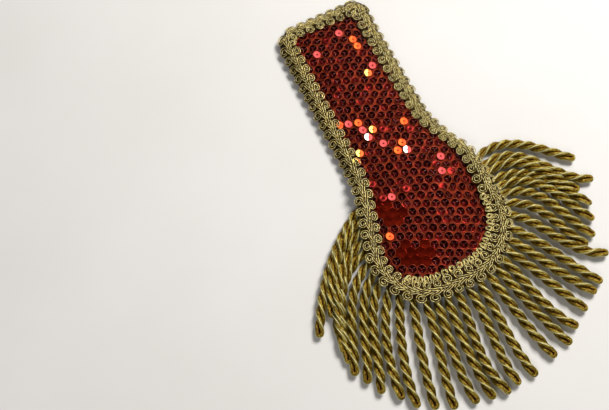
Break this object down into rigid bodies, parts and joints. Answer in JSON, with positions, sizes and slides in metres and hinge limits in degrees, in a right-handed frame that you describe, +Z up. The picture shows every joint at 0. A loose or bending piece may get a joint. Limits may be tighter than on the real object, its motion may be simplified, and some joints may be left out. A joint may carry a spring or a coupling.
{
  "type": "sequin epaulette",
  "caption": "Shoulder epaulette lying flat: a padded pear-shaped sequin panel edged with gold scroll braid, with a fringe of twisted gold cords round its bulb.",
  "frame": {"origin": "under the middle of the bulb, on the surface that the epaulette lies on", "axes": "+Z up from the table, +Y along the strap away from the fringe, +X to the side on which the bulb flares"},
  "size_m": [0.1524, 0.2099, 0.0074],
  "materials": {
    "sequin_cloth": "orange-red shiny cloth under rows of small dark red cup sequins",
    "gold_braid": "pale antique gold metallic gimp thread",
    "gold_cord": "three-ply twisted cord of antique gold metallic filament"
  },
  "bodies": {
    "root": {"sequin_panel": "sequin_cloth", "scroll_braid": "gold_braid", "bullion_fringe": "gold_cord"}
  },
  "joints": []
}
